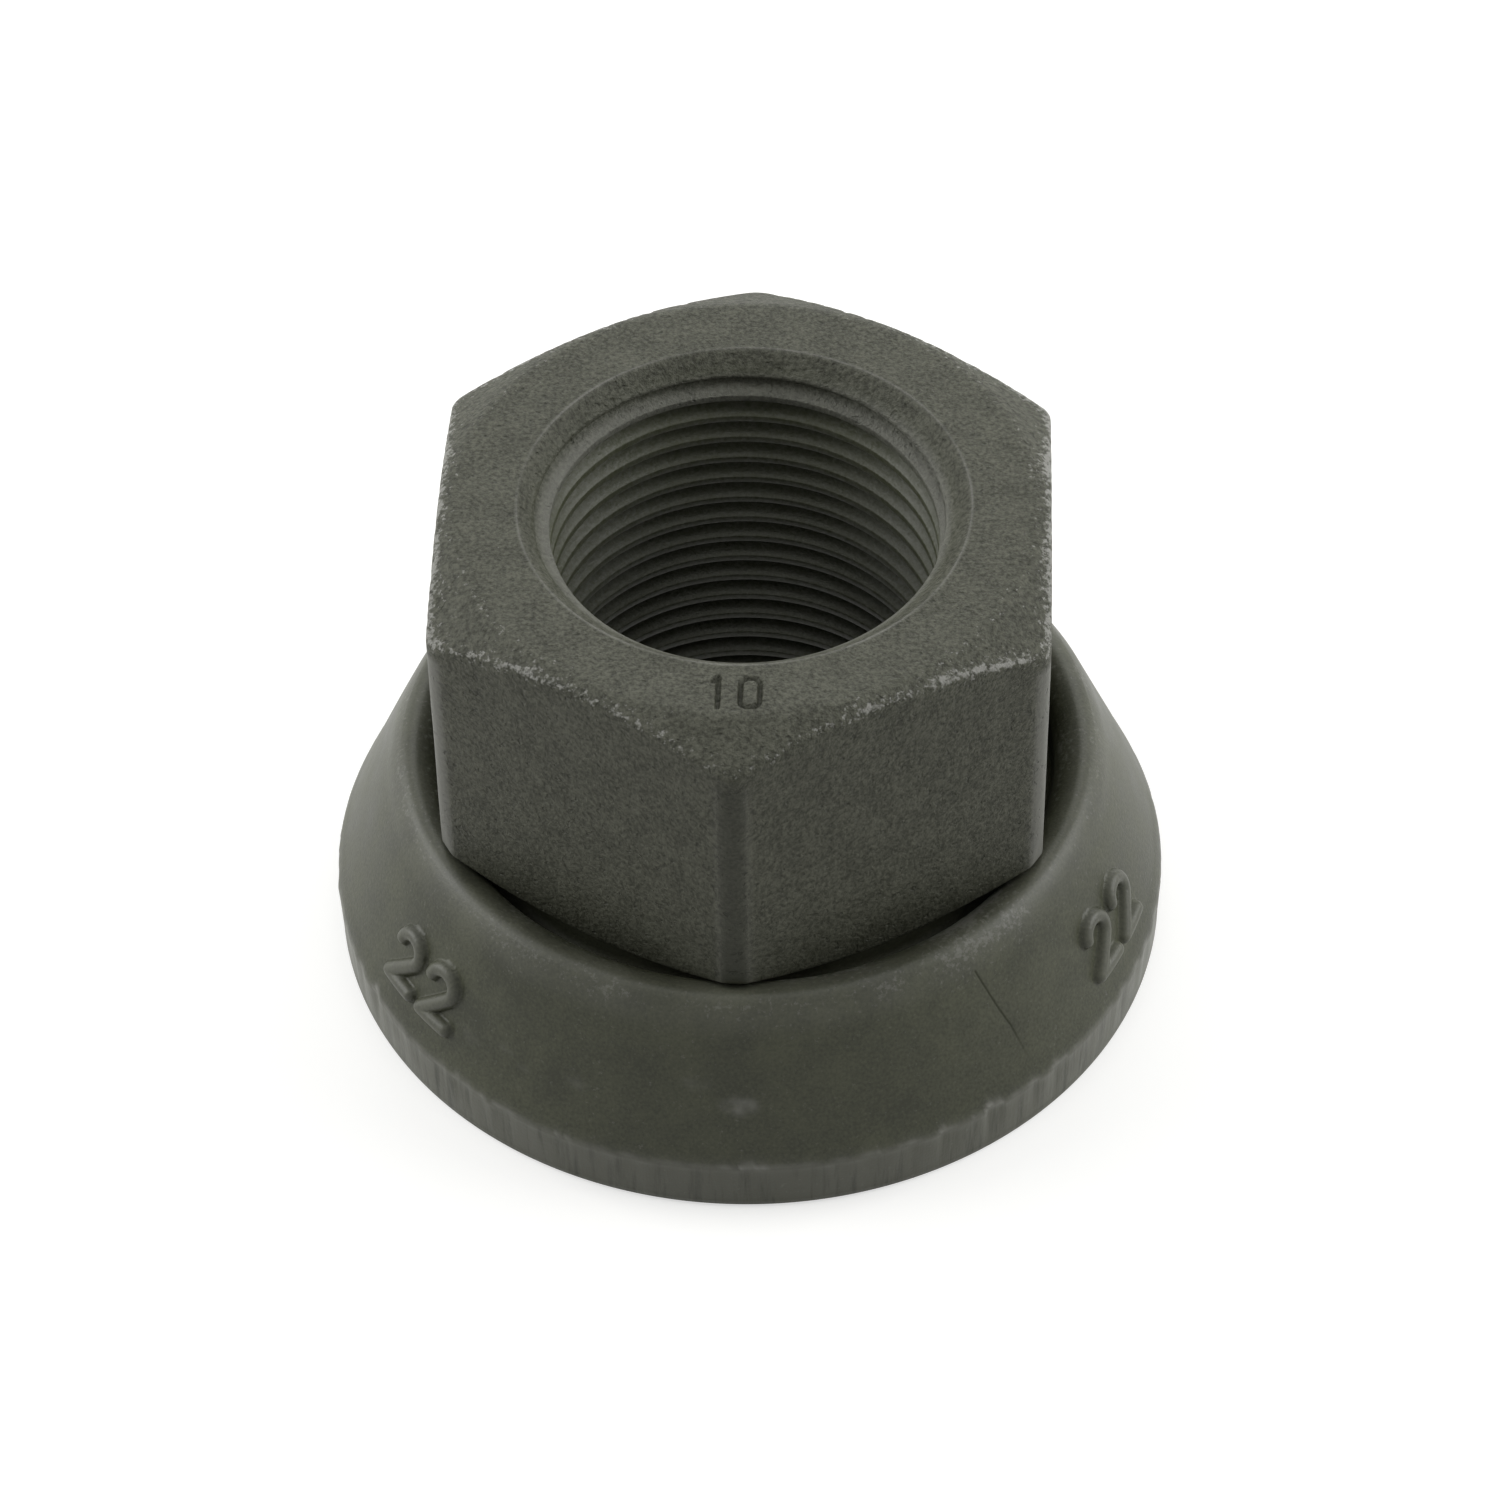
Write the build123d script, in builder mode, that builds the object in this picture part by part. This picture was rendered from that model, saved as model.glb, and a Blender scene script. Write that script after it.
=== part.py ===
# Wheel nut M22 x 1.5 with a captive pressure collar, in two forged pieces.
# Frame: +Z up along the thread axis, origin in the middle of the collar's bearing face.
# Two opposite corners of the hexagon lie on the Y axis. Lengths in millimetres, angles in degrees.
from build123d import *
from math import cos, radians, sin, tan
import os

# Thread and bore
thread_diameter = 22.0
thread_pitch = 1.5
entry_margin = 0.75                   # entry cone, wider than the thread on each side
entry_angle = 45.0                    # from the top face

# Hexagon
across_flats = 32.0
hex_length = 19.0                     # underside of the hexagon to its top face
corner_radius = 1.2                   # rounded upright edges
chamfer_inset = 0.65                  # from a flat to the circle where the turned chamfers start
chamfer_angle = 30.0                  # from the end faces
corner_draft_length = 4.0             # lower stretch of the corners, drawn in by the forging die
corner_draft_angle = 6.0              # from the axis

# Neck that holds the collar: a round spigot whose thinned end is rolled outwards
relief_depth = 1.4                    # relief bore under the thread, measured from the bore's wall
skirt_wall = 1.4                      # thickness of the rolled end
skirt_straight = 0.8                  # straight stretch of the relief bore
thread_exit_angle = 45.0              # from the axis
flare_angle = 45.0                    # from the axis
flare_reach = 1.6                     # how far the flare stands out from the neck
flare_recess = 1.1                    # lowest point of the flare above the bearing face
flare_edge_bevel = 0.3

# Pressure collar
collar_diameter = 46.0
rim_height = 3.1
rim_lean = 0.15                       # the rim's foot lies this far inside its upper edge
rim_edge_bevel = 0.2
seat_height = 11.0                    # inner floor that carries the hexagon
seat_margin = 0.2                     # floor that stands out round the hexagon's flat underside
groove_width = 1.95                   # from the edge of that underside to the lip
groove_depth = 1.2                    # groove between the floor and the lip
groove_bevel = 0.5                    # slopes at the bottom of the groove
lip_wall = 2.3                        # thickness of the lip at the level of the seat
lip_edge_bevel = 0.55                 # inner edge of the lip
lip_shoulder = 1.2                    # height of the lip's outer shoulder, down from the sharp nose
lip_shoulder_angle = 45.0             # from the level
lip_nose_bevel = 0.45                 # top of the lip
lip_shoulder_bevel = 0.5              # foot of the shoulder
edge_break = 0.25                     # small bevels on the turned edges

# Clearances between the two pieces
neck_clearance = 0.08                 # radial, so that the nut turns freely in the collar
flare_clearance = 0.25                # square to the rolled flare, the nut's small end play
lip_clearance = 0.2                   # square to the hexagon's lower chamfer

# Bore and hexagon, worked out from the sizes above
bore_radius = (thread_diameter - 1.0825 * thread_pitch) / 2
entry_radius = thread_diameter / 2 + entry_margin
entry_depth = (entry_radius - bore_radius) * tan(radians(entry_angle))
top_height = seat_height + hex_length
chamfer_radius = across_flats / 2 - chamfer_inset
chamfer_rise = tan(radians(chamfer_angle))
sharp_corner = across_flats / 2 / cos(radians(30))
corner_reach = sharp_corner - corner_radius * (1 / cos(radians(30)) - 1)
blank_radius = sharp_corner + 1       # the turned outline runs clear of the bar here

# Where the lower chamfer meets the draft of the corners
draft_start = seat_height + corner_draft_length
draft_slope = tan(radians(corner_draft_angle))
draft_foot = corner_reach - (corner_draft_length + chamfer_radius * chamfer_rise) * draft_slope
draft_foot = draft_foot / (1 - chamfer_rise * draft_slope)

# Neck and rolled flare: outer corner, lowest corner, and the relief bore inside
relief_radius = bore_radius + relief_depth
neck_radius = relief_radius + skirt_wall
flare_lean = radians(flare_angle)
flare_outer = (neck_radius + flare_reach, flare_recess + skirt_wall * sin(flare_lean))
flare_lowest = (flare_outer[0] - skirt_wall * cos(flare_lean), flare_recess)
flare_start = flare_outer[1] + flare_reach / tan(flare_lean)
relief_foot = flare_recess + (flare_lowest[0] - relief_radius) / tan(flare_lean)
relief_top = relief_foot + skirt_straight
thread_end = relief_top + relief_depth / tan(radians(thread_exit_angle))


def corner_at(section, point):
    """The corner of a section that lies at a point of its outline."""
    return section.vertices().sort_by_distance(point)[0]


# Hexagon nut: a hexagonal bar trimmed by turned ends, on a round neck
with BuildPart() as hex_nut:
    with BuildSketch(Plane.XY.offset(seat_height)):
        RegularPolygon(across_flats / 2, 6, major_radius=False, rotation=30)
    extrude(amount=hex_length)
    fillet(hex_nut.edges().filter_by(Axis.Z), corner_radius)

    # Turned form: bore and entry cone inside, chamfers and corner draft outside
    with BuildSketch(Plane.XZ):
        with BuildLine():
            Polyline(
                (bore_radius, seat_height),
                (chamfer_radius, seat_height),
                (draft_foot, seat_height + (draft_foot - chamfer_radius) * chamfer_rise),
                (corner_reach, draft_start),
                (blank_radius, draft_start),
                (blank_radius, top_height - (blank_radius - chamfer_radius) * chamfer_rise),
                (chamfer_radius, top_height),
                (entry_radius, top_height),
                (bore_radius, top_height - entry_depth),
                close=True,
            )
        make_face()
    revolve(axis=Axis.Z, mode=Mode.INTERSECT)

    # Neck with its thread relief and rolled flare
    with BuildSketch(Plane.XZ) as neck_section:
        with BuildLine():
            Polyline(
                (bore_radius, seat_height),
                (neck_radius, seat_height),
                (neck_radius, flare_start),
                flare_outer,
                flare_lowest,
                (relief_radius, relief_foot),
                (relief_radius, relief_top),
                (bore_radius, thread_end),
                close=True,
            )
        make_face()
        for point in (flare_outer, flare_lowest):
            chamfer(corner_at(neck_section, point), flare_edge_bevel)
    revolve(axis=Axis.Z)

hex_nut.part.label = "hex_nut"

# Lip of the collar: an upright inner wall, then a bevel beside the hexagon's chamfer. Bevel and outer
# cone would meet in a sharp nose, which a shoulder takes off.
lip_rise = groove_width * chamfer_rise - lip_clearance / cos(radians(chamfer_angle))
lip_foot = (chamfer_radius + groove_width, seat_height + lip_rise)
rim_corner = (collar_diameter / 2, rim_height)
cone_slope = (rim_corner[0] - lip_foot[0] - lip_wall) / (seat_height - rim_height)
nose_radius = rim_corner[0] - (lip_foot[1] - lip_foot[0] * chamfer_rise - rim_height) * cone_slope
nose_radius = nose_radius / (1 + chamfer_rise * cone_slope)
nose_height = lip_foot[1] + (nose_radius - lip_foot[0]) * chamfer_rise
shoulder_slope = tan(radians(lip_shoulder_angle))
shoulder_width = lip_shoulder * (1 + cone_slope * chamfer_rise) / (shoulder_slope + chamfer_rise)
lip_edge = (nose_radius + lip_shoulder * cone_slope, nose_height - lip_shoulder)
lip_nose = (lip_edge[0] - shoulder_width, lip_edge[1] + shoulder_width * shoulder_slope)

# Groove between the floor that carries the hexagon and the lip
seat_edge = chamfer_radius + seat_margin
groove_floor = seat_height - groove_depth

# Hole for the neck, opened out below to clear the rolled flare
hole_radius = neck_radius + neck_clearance
hole_foot = flare_start + (flare_clearance / cos(flare_lean) - neck_clearance) / tan(flare_lean)
recess_radius = flare_outer[0] + flare_clearance / sin(flare_lean)
recess_shoulder = hole_foot - (recess_radius - hole_radius) / tan(flare_lean)

# Pressure collar: a conical disc with a flat bearing face
with BuildPart() as pressure_collar:
    with BuildSketch(Plane.XZ) as collar_section:
        with BuildLine():
            Polyline(
                (hole_radius + edge_break, seat_height),
                (seat_edge, seat_height),
                (seat_edge, groove_floor),
                (lip_foot[0], groove_floor),
                lip_foot,
                lip_nose,
                lip_edge,
                rim_corner,
                (rim_corner[0] - rim_lean, edge_break),
                (rim_corner[0] - rim_lean - edge_break, 0),
                (recess_radius + edge_break, 0),
                (recess_radius, edge_break),
                (recess_radius, recess_shoulder),
                (hole_radius, hole_foot),
                (hole_radius, seat_height - edge_break),
                close=True,
            )
        make_face()
        for point in ((seat_edge, groove_floor), (lip_foot[0], groove_floor)):
            chamfer(corner_at(collar_section, point), groove_bevel)
        chamfer(corner_at(collar_section, lip_foot), lip_edge_bevel)
        chamfer(corner_at(collar_section, lip_nose), lip_nose_bevel)
        chamfer(corner_at(collar_section, lip_edge), lip_shoulder_bevel)
        chamfer(corner_at(collar_section, rim_corner), rim_edge_bevel)
    revolve(axis=Axis.Z)

pressure_collar.part.label = "pressure_collar"

os.makedirs("parts", exist_ok=True)
export_step(hex_nut.part, "parts/hex_nut.step")
export_step(pressure_collar.part, "parts/pressure_collar.step")
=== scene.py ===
from math import atan2, ceil, cos, exp, hypot, inf, pi, radians, sin, sqrt, tan

import bmesh
import bpy
from bpy.props import FloatProperty, FloatVectorProperty, PointerProperty
from mathutils import Matrix, Vector, noise


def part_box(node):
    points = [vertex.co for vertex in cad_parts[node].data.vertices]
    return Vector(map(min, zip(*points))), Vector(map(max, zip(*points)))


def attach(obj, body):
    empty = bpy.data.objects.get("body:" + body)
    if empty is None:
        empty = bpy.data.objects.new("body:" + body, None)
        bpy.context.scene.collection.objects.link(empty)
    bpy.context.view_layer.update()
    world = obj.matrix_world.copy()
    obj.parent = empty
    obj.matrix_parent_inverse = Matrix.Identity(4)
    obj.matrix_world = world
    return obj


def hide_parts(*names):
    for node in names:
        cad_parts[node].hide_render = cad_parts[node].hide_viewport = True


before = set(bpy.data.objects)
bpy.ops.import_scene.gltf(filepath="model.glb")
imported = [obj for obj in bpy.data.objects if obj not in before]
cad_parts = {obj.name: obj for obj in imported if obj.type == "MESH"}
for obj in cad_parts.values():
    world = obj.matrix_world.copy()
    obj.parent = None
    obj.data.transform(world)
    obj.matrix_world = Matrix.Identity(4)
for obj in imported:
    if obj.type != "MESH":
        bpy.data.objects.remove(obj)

bl_info = {
    "name": "Wheel nut with pressure collar",
    "version": (1, 0, 0),
    "blender": (4, 5, 0),
    "location": "View3D > Sidebar > Wheel nut",
    "description": "Models a hexagon wheel nut with its thread, its pressure collar and a small studio",
    "category": "Add Mesh",
}

MM = 0.001
TO_CORNER = pi / 6       # from the middle of a flat of the hexagon to a corner
NUT_LOW, NUT_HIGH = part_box("hex_nut")
COLLAR_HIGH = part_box("pressure_collar")[1]
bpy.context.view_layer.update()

NUT_STEPS = 600          # round the hexagon, so that every corner has a column of vertices
THREAD_STEPS = 150       # a quarter of the hexagon's
COLLAR_STEPS = 720
SECTORS = 6              # a full turn is made of one sector and its copies, which is quicker
MARK_CUTS = 3            # extra cuts of each edge where numbers and the scratch are drawn

NUMBER_TURNS = (radians(-142.3), radians(-22.25))        # places of the raised numbers, about Z
SCRATCH_TURN = radians(-48.3)
SCRATCH = ((-0.85, 4.3), (-0.4, 2.8), (0.0, 1.4), (0.4, 0.2), (0.85, -2.1))    # across and up, millimetres
PALE_SPOTS = (           # rubbed on the collar's front: across, up and length in millimetres, and strength
    (0.33, 6.7, 2.2, 0.42), (-2.0, 7.8, 1.7, 0.1), (-8.3, 6.5, 1.5, 0.12), (-11.3, 6.0, 0.7, 0.12),
    (-12.2, 6.5, 0.9, 0.16), (-14.4, 6.0, 1.4, 0.1),
)
# Painted shade: the seat and the groove round the hexagon are darkened where shade falls under it
GROOVE_SHADE = 0.43      # how far the groove round the hexagon is darkened

FACTOR, FIRST, SECOND, MIXED = 0, 6, 7, 2        # a mix node's sockets for colours


def length(name, millimetres, description):
    """A size in metres, given in millimetres."""
    return FloatProperty(
        name=name, description=description, default=millimetres * MM, unit="LENGTH", subtype="DISTANCE", precision=5
    )


def angle(name, degrees, description):
    """An angle in radians, given in degrees."""
    return FloatProperty(
        name=name, description=description, default=radians(degrees), unit="ROTATION", subtype="ANGLE"
    )


def power(name, watts, description):
    """A lamp's power in watts."""
    return FloatProperty(name=name, description=description, default=watts, min=0.0, unit="POWER")


def linear(code):
    """An sRGB hex value such as 4A4A43 as a linear colour."""
    parts = [int(code[i : i + 2], 16) / 255 for i in (0, 2, 4)]
    return [c / 12.92 if c <= 0.04045 else ((c + 0.055) / 1.055) ** 2.4 for c in parts] + [1.0]


def colour(name, code, description):
    """A colour, given as an sRGB hex value."""
    return FloatVectorProperty(
        name=name, description=description, default=linear(code), size=4, min=0.0, max=1.0, subtype="COLOR"
    )


class NutSizes(bpy.types.PropertyGroup):
    """Sizes of the hexagon nut."""

    across_flats: length("Across flats", (NUT_HIGH.x - NUT_LOW.x) / MM, "Width over two opposite flats")
    top: length("Top", NUT_HIGH.z / MM, "Height of the top face over the bearing face")
    seat: length("Seat", 11.0, "Height of the hexagon's underside over the bearing face")
    corner_radius: length("Corner radius", 1.2, "Rounding of the upright edges")
    chamfer_radius: length("Chamfer radius", 15.35, "Radius of the circle where both chamfers start")
    chamfer_angle: angle("Chamfer angle", 30.0, "Slope of both chamfers from the end faces")
    draft_height: length("Draft height", 4.0, "Lower stretch of the corners that is drawn in")
    draft_angle: angle("Draft angle", 3.8, "Slope of that stretch from the axis")
    edge_softness: length("Edge softness", 0.22, "Reach of the rounding along the worn edges")
    face_softness: length("Face softness", 0.3, "Reach of the rounding round the top face")
    seat_softness: length("Seat softness", 0.15, "Reach of the rounding round the underside")
    entry_radius: length("Entry radius", 11.75, "Radius of the entry cone at the top face")
    thread_radius: length("Thread radius", 11.0, "Radius of the thread's roots")
    bore_radius: length("Bore radius", 10.188, "Radius of the thread's crests")
    pitch: length("Pitch", 1.5, "Rise of the thread in one turn")
    groove_height: length("Groove height", 28.6, "Height of the first root on the side towards +Y")
    neck_radius: length("Neck radius", 12.988, "Radius of the neck inside the collar")
    flare_start: length("Flare start", 3.69, "Height where the neck flares out")
    flare_radius: length("Flare radius", 14.588, "Radius of the rolled flare")
    flare_height: length("Flare height", 2.09, "Height of the flare's widest corner")
    flare_softness: length("Flare softness", 0.55, "Reach of the rounding at the flare's corners")
    skirt_radius: length("Skirt radius", 13.598, "Radius of the flare's lowest corner")
    skirt_height: length("Skirt height", 1.1, "Height of the flare's lowest corner")
    relief_radius: length("Relief radius", 11.588, "Radius of the relief bore under the thread")
    relief_foot: length("Relief foot", 3.11, "Height where the relief bore opens into the flare")
    relief_top: length("Relief top", 3.91, "Height where the relief bore turns into the thread's exit cone")
    stamp_radius: length("Stamp radius", 13.75, "Distance of the stamped number from the axis")
    stamp_height: length("Stamp height", 2.45, "Height of the stamped digits")
    stamp_spacing: length("Stamp spacing", 1.66, "Distance between the stamped digits")
    stamp_stroke: length("Stamp stroke", 0.34, "Width of the stamped strokes")
    stamp_depth: length("Stamp depth", 0.24, "Depth of the stamped strokes")


class CollarSizes(bpy.types.PropertyGroup):
    """Sizes of the pressure collar."""

    rim_radius: length("Rim radius", COLLAR_HIGH.x / MM, "Largest radius of the collar")
    rim_height: length("Rim height", 3.1, "Height of the sheared rim")
    rim_lean: length("Rim lean", 0.15, "How far the rim's foot lies inside its upper edge")
    rim_waste: length("Rim waste", 0.15, "Unevenness of the sheared rim")
    seat: length("Seat", 11.0, "Height of the inner floor")
    seat_radius: length("Seat radius", 15.55, "Outer radius of the inner floor")
    seat_softness: length("Seat softness", 0.15, "Reach of the rounding at the inner floor's edge")
    hole_radius: length("Hole radius", 13.068, "Radius of the hole for the neck")
    hole_foot: length("Hole foot", 3.964, "Height where the hole opens out")
    recess_radius: length("Recess radius", 14.942, "Radius of the recess for the rolled flare")
    recess_top: length("Recess top", 2.09, "Height of the recess's upright wall")
    groove_floor: length("Groove floor", 9.8, "Height of the bottom of the groove round the floor")
    groove_bevel: length("Groove bevel", 0.5, "Reach of the rounding at the bottom of the groove")
    lip_radius: length("Lip radius", 16.6, "Inner radius of the lip")
    lip_height: length("Lip height", 11.491, "Height of the lip's inner edge")
    lip_width: length("Lip width", 1.8, "Width of the lip's sloping top")
    lip_angle: angle("Lip angle", 30.0, "Slope of the lip's top")
    lip_softness: length("Lip softness", 0.9, "Reach of the rounding at the lip's inner edge")
    nose_softness: length("Nose softness", 0.7, "Reach of the rounding at the top of the lip")
    shoulder_width: length("Shoulder width", 0.95, "Width of the shoulder outside the lip")
    shoulder_angle: angle("Shoulder angle", 45.0, "Slope of the shoulder")
    shoulder_softness: length("Shoulder softness", 0.57, "Reach of the rounding at the shoulder's foot")
    edge_break: length("Edge break", 0.25, "Bevels on the turned edges")
    number_radius: length("Number radius", 21.4, "Distance of the raised numbers from the axis")
    number_height: length("Number height", 3.5, "Height of the raised digits")
    number_spacing: length("Number spacing", 3.1, "Distance between the raised digits")
    number_stroke: length("Number stroke", 0.95, "Width of the raised strokes at their foot")
    number_relief: length("Number relief", 0.48, "How far the raised strokes stand out")
    scratch_depth: length("Scratch depth", 0.05, "Depth of the fine scratch on the cone")


class Finishes(bpy.types.PropertyGroup):
    """Colours of the phosphated steel and the size of its grit."""

    blasted_dark: colour("Blasted, dark", "25261A", "Hollows of the shot-blasted skin")
    blasted_light: colour("Blasted, light", "56574B", "Crests of the shot-blasted skin")
    cut_dark: colour("Cut thread, dark", "434632", "Dark grain of the cut and phosphated thread")
    cut_light: colour("Cut thread, light", "585A4D", "Light grain of the cut and phosphated thread")
    forged_dark: colour("Forged, dark", "303224", "Dark clouds of the forged skin")
    forged_light: colour("Forged, light", "484A3A", "Light clouds of the forged skin")
    sheared: colour("Sheared", "525347", "Sheared band round the rim")
    # Pale colour of knocked specks, rubbed spots and the painted highlights
    scuff_and_highlight: colour("Scuffed", "8E8E88", "Worn specks along the edges")
    # Dark colour of the pits and the scratch, and of the painted shade in the stamped number, the corner bands, the
    # foot of the flats and the groove round the hexagon
    shade_and_dark_marks: colour("Hollows", "161808", "Dark oily grime in pits, marks and the groove round the hexagon")
    grit: length("Grit", 0.25, "Size of the blasted grain")


class StageSettings(bpy.types.PropertyGroup):
    """Camera, lamps and floor."""

    elevation: angle("Elevation", 46.572, "Height of the camera over the horizon")
    turn: angle("Turn", 2.836, "How far the camera stands to the right of the front corner")
    roll: angle("Roll", -0.904, "Turn of the camera about its own axis")
    distance: length("Distance", 276.81, "From the camera to the middle of the nut")
    middle: length("Middle", 12.0, "Height of the point that the distance is measured to")
    aim_right: length("Aim right", 0.102, "How far to the right of the axis the camera aims")
    aim_down: length("Aim down", 0.82, "How far under the middle the camera aims")
    lens: length("Lens", 121.92, "Focal length on a sensor 36 mm wide")
    floor: colour("Floor", "C4C4C1", "Pale floor")
    floor_reach: length("Floor reach", 300.0, "From the middle of the floor to its edges")
    world_light: FloatProperty(
        name="World light", description="Strength of the even light", default=0.19, min=0.0, max=1.0, subtype="FACTOR"
    )
    side_light: power("Side light", 1.22, "Power of each lamp at the side")
    top_light: power("Top light", 0.4, "Power of the lamp overhead")
    back_light: power("Back light", 0.55, "Power of the lamp behind the nut")


# Shapes in general

def turned(bm, outline, spacing, steps, close=False):
    """Turns an outline about Z. Each corner is (radius, height, reach of its rounding), and spacing(middle)
    gives the distance between rings."""
    corners = [bm.verts.new((radius, 0.0, height)) for radius, height, _soft in outline]
    ends = corners[1:] + corners[:1] if close else corners[1:]
    for start, end in zip(corners, ends):
        bm.edges.new((start, end))
    for corner, (_radius, _height, soft) in zip(corners, outline):
        if soft:
            bmesh.ops.bevel(
                bm, geom=[corner], affect="VERTICES", offset=soft, segments=3, profile=0.5, material=-1
            )
    for edge in list(bm.edges):
        middle = (edge.verts[0].co + edge.verts[1].co) / 2
        cuts = ceil(edge.calc_length() / spacing(middle)) - 1
        if cuts > 0:
            bmesh.ops.subdivide_edges(bm, edges=[edge], cuts=cuts)
    sector = 2 * pi / SECTORS
    bmesh.ops.spin(
        bm, geom=bm.verts[:] + bm.edges[:], cent=(0, 0, 0), axis=(0, 0, 1), angle=sector, steps=steps // SECTORS
    )
    bmesh.ops.spin(
        bm, geom=bm.verts[:] + bm.edges[:] + bm.faces[:], cent=(0, 0, 0), axis=(0, 0, 1),
        angle=2 * pi - sector, steps=SECTORS - 1, use_duplicate=True,
    )
    bmesh.ops.remove_doubles(bm, verts=bm.verts[:], dist=0.001 * MM)


def polar(point):
    """Radius and angle of a point about Z."""
    return hypot(point.x, point.y), atan2(point.y, point.x)


def move_to(vert, radius, height):
    """Gives a vertex another radius and height at its own angle."""
    scale = radius / hypot(vert.co.x, vert.co.y)
    vert.co = Vector((vert.co.x * scale, vert.co.y * scale, height))


def between(value, low, high, new_low, new_high):
    """Maps a value from one stretch to another."""
    return new_low + (value - low) / (high - low) * (new_high - new_low)


def smooth(low, high, value):
    """0 under low, 1 over high and a soft rise between. With low over high it falls instead."""
    t = min(max((value - low) / (high - low), 0.0), 1.0)
    return t * t * (3 - 2 * t)


def grain(point, size, offset=0.0):
    """Noise from about -1 to 1 with bumps of a size."""
    return noise.noise(point / size + Vector((offset, offset, offset)))


def wave(point, size, offset=0.0):
    """Noise from about 0 to 1 with bumps of a size."""
    return 0.5 + 0.5 * grain(point, size, offset)


def add_layers(bm, names):
    """Adds a number to every vertex for each name, which the materials read as an attribute."""
    return [bm.verts.layers.float.new(name) for name in names]


def update_normals(bm):
    """Turns all faces outwards and works out the vertices' normals."""
    bmesh.ops.recalc_face_normals(bm, faces=bm.faces[:])
    bm.normal_update()


def slice_level(bm, height, up=1, clear=False):
    """Cuts the faces at a height, and with clear takes away what lies beyond: over it, or under it if up is -1."""
    bmesh.ops.bisect_plane(
        bm, geom=bm.verts[:] + bm.edges[:] + bm.faces[:], dist=0.0005 * MM, plane_co=(0, 0, height),
        plane_no=(0, 0, up), clear_outer=clear,
    )


# Numbers and other drawn marks

def arc(across, up, radius_across, radius_up, start, end, count=14):
    """Points of an elliptic arc, with angles in degrees."""
    turns = [radians(start + (end - start) * i / count) for i in range(count + 1)]
    return [Vector((across + radius_across * cos(t), up + radius_up * sin(t))) for t in turns]


def digit_lines(digit):
    """Centre lines of a digit that is one unit high, round its own middle."""
    if digit == "0":
        top = arc(0.0, 0.26, 0.2, 0.15, 0, 180)
        foot = arc(0.0, -0.26, 0.2, 0.15, 180, 360)
        return [top + foot + top[:1]]
    if digit == "1":
        return [[Vector((-0.1, 0.32)), Vector((0.02, 0.42)), Vector((0.02, -0.42))]]
    if digit == "2":
        return [arc(0.0, 0.2, 0.27, 0.24, 170, -35) + [Vector((-0.28, -0.44)), Vector((0.3, -0.44))]]
    raise ValueError(f"no strokes are drawn for the digit {digit}")


def number_lines(digits, height, spacing):
    """Centre lines of a row of digits round the row's middle."""
    lines = []
    for place, digit in enumerate(digits):
        shift = Vector(((place - (len(digits) - 1) / 2) * spacing, 0.0))
        lines += [[point * height + shift for point in line] for line in digit_lines(digit)]
    return lines


def gap_to(lines, point):
    """Shortest distance from a point to the lines."""
    gaps = []
    for line in lines:
        for start, end in zip(line, line[1:]):
            way = end - start
            along = min(max((point - start).dot(way) / way.length_squared, 0.0), 1.0)
            gaps.append((point - start - way * along).length)
    return min(gaps)


def refine(bm, flat_place, half_width, half_height):
    """Divides the faces whose place on a drawing plane lies inside a frame, and returns the vertices there."""
    def inside(point):
        place = flat_place(point)
        return place is not None and abs(place.x) < half_width and abs(place.y) < half_height

    edges = dict.fromkeys(edge for face in bm.faces if inside(face.calc_center_median()) for edge in face.edges)
    bmesh.ops.subdivide_edges(bm, edges=list(edges), cuts=MARK_CUTS, use_grid_fill=True)
    return [vert for vert in bm.verts if inside(vert.co)]


# Hexagon nut

def corner_reach(size):
    """Radius of the hexagon's rounded corners."""
    return size.across_flats / 2 / cos(TO_CORNER) - size.corner_radius * (1 / cos(TO_CORNER) - 1)


def corner_span(size):
    """Half of the angle about Z that a rounded corner takes."""
    half = size.across_flats / 2
    return TO_CORNER - atan2((half - size.corner_radius) * tan(TO_CORNER), half)


def off_flat(turn):
    """Angle about Z from the middle of the nearest flat. One flat faces along X."""
    return abs((turn + TO_CORNER) % (2 * TO_CORNER) - TO_CORNER)


def hexagon_radius(turn, size):
    """Distance from the axis to the hexagon's outline at an angle about Z."""
    half, off = size.across_flats / 2, off_flat(turn)
    if tan(off) * half <= (half - size.corner_radius) * tan(TO_CORNER):
        return half / cos(off)
    centre, off_corner = (half - size.corner_radius) / cos(TO_CORNER), TO_CORNER - off
    return centre * cos(off_corner) + sqrt(size.corner_radius**2 - (centre * sin(off_corner)) ** 2)


def draft_foot(size, reach):
    """Radius where the drawn-in corners meet the lower chamfer."""
    rise, lean = tan(size.chamfer_angle), tan(size.draft_angle)
    return (reach - (size.draft_height + size.chamfer_radius * rise) * lean) / (1 - rise * lean)


def nut_outline(size, reach, foot):
    """Half section of the nut through a corner, from the entry cone over the hexagon and down to the relief."""
    rise = tan(size.chamfer_angle)
    return [
        (size.entry_radius + 0.22 * MM, size.top, 0.0),           # clear of the entry cone's soft edge
        (size.chamfer_radius, size.top, size.face_softness),
        (reach, size.top - (reach - size.chamfer_radius) * rise, size.edge_softness),
        (reach, size.seat + size.draft_height, 0.0),
        (foot, size.seat + (foot - size.chamfer_radius) * rise, size.edge_softness),
        (size.chamfer_radius, size.seat, size.seat_softness),
        (size.neck_radius, size.seat, 0.0),
        (size.neck_radius, size.flare_start, 0.0),
        (size.flare_radius, size.flare_height, size.flare_softness),
        (size.skirt_radius, size.skirt_height, size.flare_softness),
        (size.relief_radius, size.relief_foot, 0.0),
        (size.relief_radius, size.relief_top, 0.0),
    ]


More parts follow.
